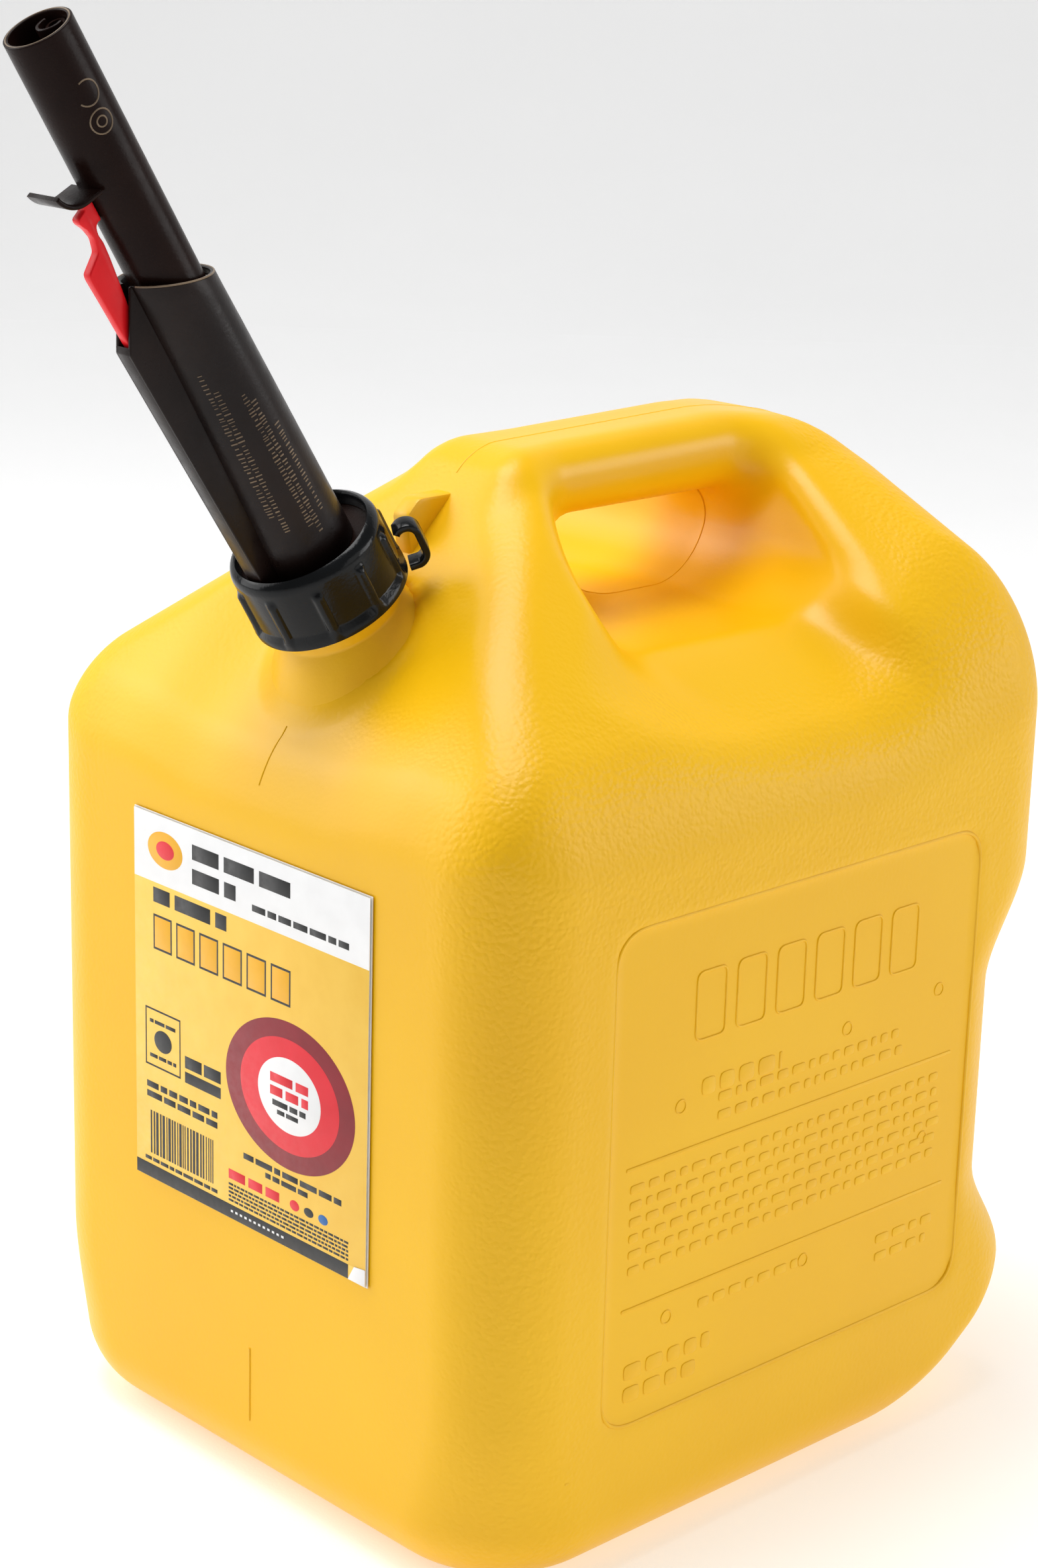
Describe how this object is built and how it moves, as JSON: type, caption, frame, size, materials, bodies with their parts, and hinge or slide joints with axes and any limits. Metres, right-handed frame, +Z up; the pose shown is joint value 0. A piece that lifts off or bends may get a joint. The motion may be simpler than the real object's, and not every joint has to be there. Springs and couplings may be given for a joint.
{
  "type": "fuel can",
  "caption": "Hollow blow-moulded 20 litre fuel can with top handle, threaded collar, sliding spring-closed pouring spout and child-resistant latch.",
  "frame": {"origin": "middle of the base, on the surface the can stands on", "axes": "+Z up; -Y is the label face, towards which the spout leans; +X is the side on the right when facing the label"},
  "size_m": [0.254, 0.3762, 0.5232],
  "materials": {
    "tank_yellow": "satin moulded polyethylene with a leather grain on the sides",
    "spout_black": "semi-gloss brown-black",
    "collar_black": "gloss black",
    "latch_red": "semi-gloss red",
    "seal_rubber": "matt black nitrile",
    "natural_plastic": "natural acetal",
    "spring_steel": "plain spring wire",
    "screen_steel": "fine perforated screen",
    "label_film": null
  },
  "bodies": {
    "tank": {"tank_body": "tank_yellow", "flame_arrester_frame": "natural_plastic", "flame_arrester_screen": "screen_steel", "label_base_ply": "label_film", "label_leaf": "label_film"},
    "spout_base": {"neck_gasket": "seal_rubber", "spout_base_ring": "spout_black", "spout_housing": "spout_black", "housing_guide_bush": "natural_plastic", "valve_seat_tube": "natural_plastic", "spring_seat_washer": "spring_steel", "return_spring": "spring_steel"},
    "collar": {"collar": "collar_black"},
    "lock_tab": {"collar_lock_tab": "collar_black"},
    "nozzle": {"nozzle_tube": "spout_black", "air_vent_tube": "spout_black", "piston_o_ring_upper": "seal_rubber", "piston_o_ring_lower": "seal_rubber", "valve_stem": "natural_plastic", "valve_poppet": "natural_plastic", "poppet_seal": "seal_rubber"},
    "latch": {"safety_latch": "latch_red"}
  },
  "joints": [
    {"name": "spout_lift", "type": "slide", "parent": "tank", "child": "spout_base", "axis": [0, -0.5195, 0.8545], "range_m": [0, 0.00901]},
    {"name": "collar_turn", "type": "hinge", "parent": "spout_base", "child": "collar", "pos_m": [0, -0.10773, 0.32576], "axis": [0, -0.5195, 0.8545], "range_deg": [0, 540]},
    {"name": "lock_tab_press", "type": "hinge", "parent": "collar", "child": "lock_tab", "pos_m": [0.01847, -0.08784, 0.33855], "axis": [0.788, -0.5261, -0.3198], "range_deg": [0, 5], "stiffness_Nm_per_rad": 0.6},
    {"name": "nozzle_push", "type": "slide", "parent": "spout_base", "child": "nozzle", "axis": [0, 0.5195, -0.8545], "range_m": [0, 0.02], "stiffness_N_per_m": 350, "springref_m": -0.015, "deforming": ["return_spring"]},
    {"name": "latch_press", "type": "hinge", "parent": "nozzle", "child": "latch", "pos_m": [0, -0.20595, 0.46324], "axis": [1, 0, 0], "range_deg": [0, 2.5], "stiffness_Nm_per_rad": 1.5}
  ],
  "couplings": [
    {"joint": "spout_lift", "follows": "collar_turn", "m_per_rad": 0.00095493}
  ]
}
